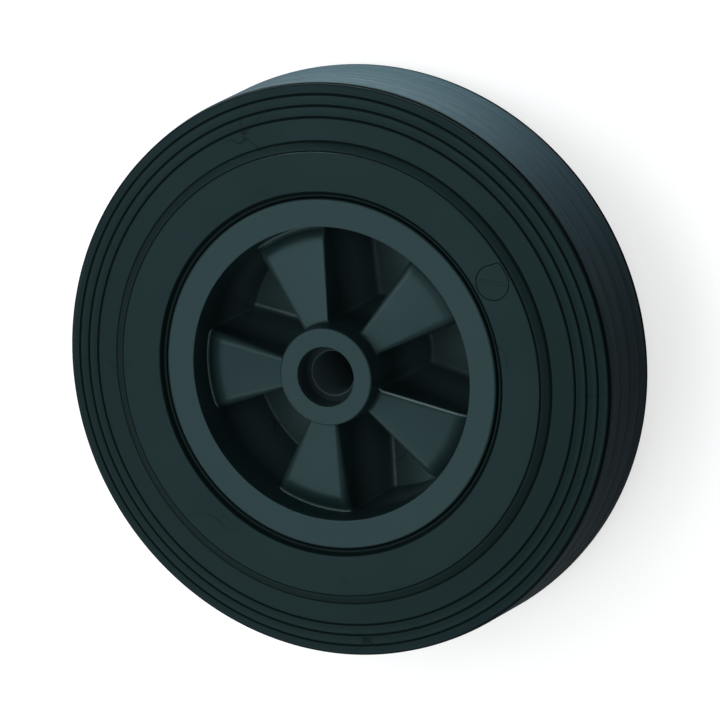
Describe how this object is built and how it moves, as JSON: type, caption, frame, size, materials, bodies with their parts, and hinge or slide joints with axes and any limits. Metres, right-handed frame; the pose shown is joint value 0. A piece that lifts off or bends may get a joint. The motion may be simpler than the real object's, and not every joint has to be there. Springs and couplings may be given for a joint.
{
  "type": "castor wheel",
  "caption": "Solid rubber tyre on a one-piece plastic rim with front and rear webs by turns, and a plain stepped hub bore for an axle.",
  "frame": {"origin": "the wheel's centre, on the bore axis, midway between the hub's ends", "axes": "+Z along the bore axis, out of the side that shows the dished front webs; the wheel lies on the rear end of its hub"},
  "size_m": [0.2, 0.2, 0.057],
  "materials": {
    "rim_plastic": "satin moulded polypropylene, charcoal",
    "tyre_rubber": "dull moulded solid rubber, black"
  },
  "bodies": {
    "root": {"rim": "rim_plastic", "tyre": "tyre_rubber"}
  },
  "joints": []
}
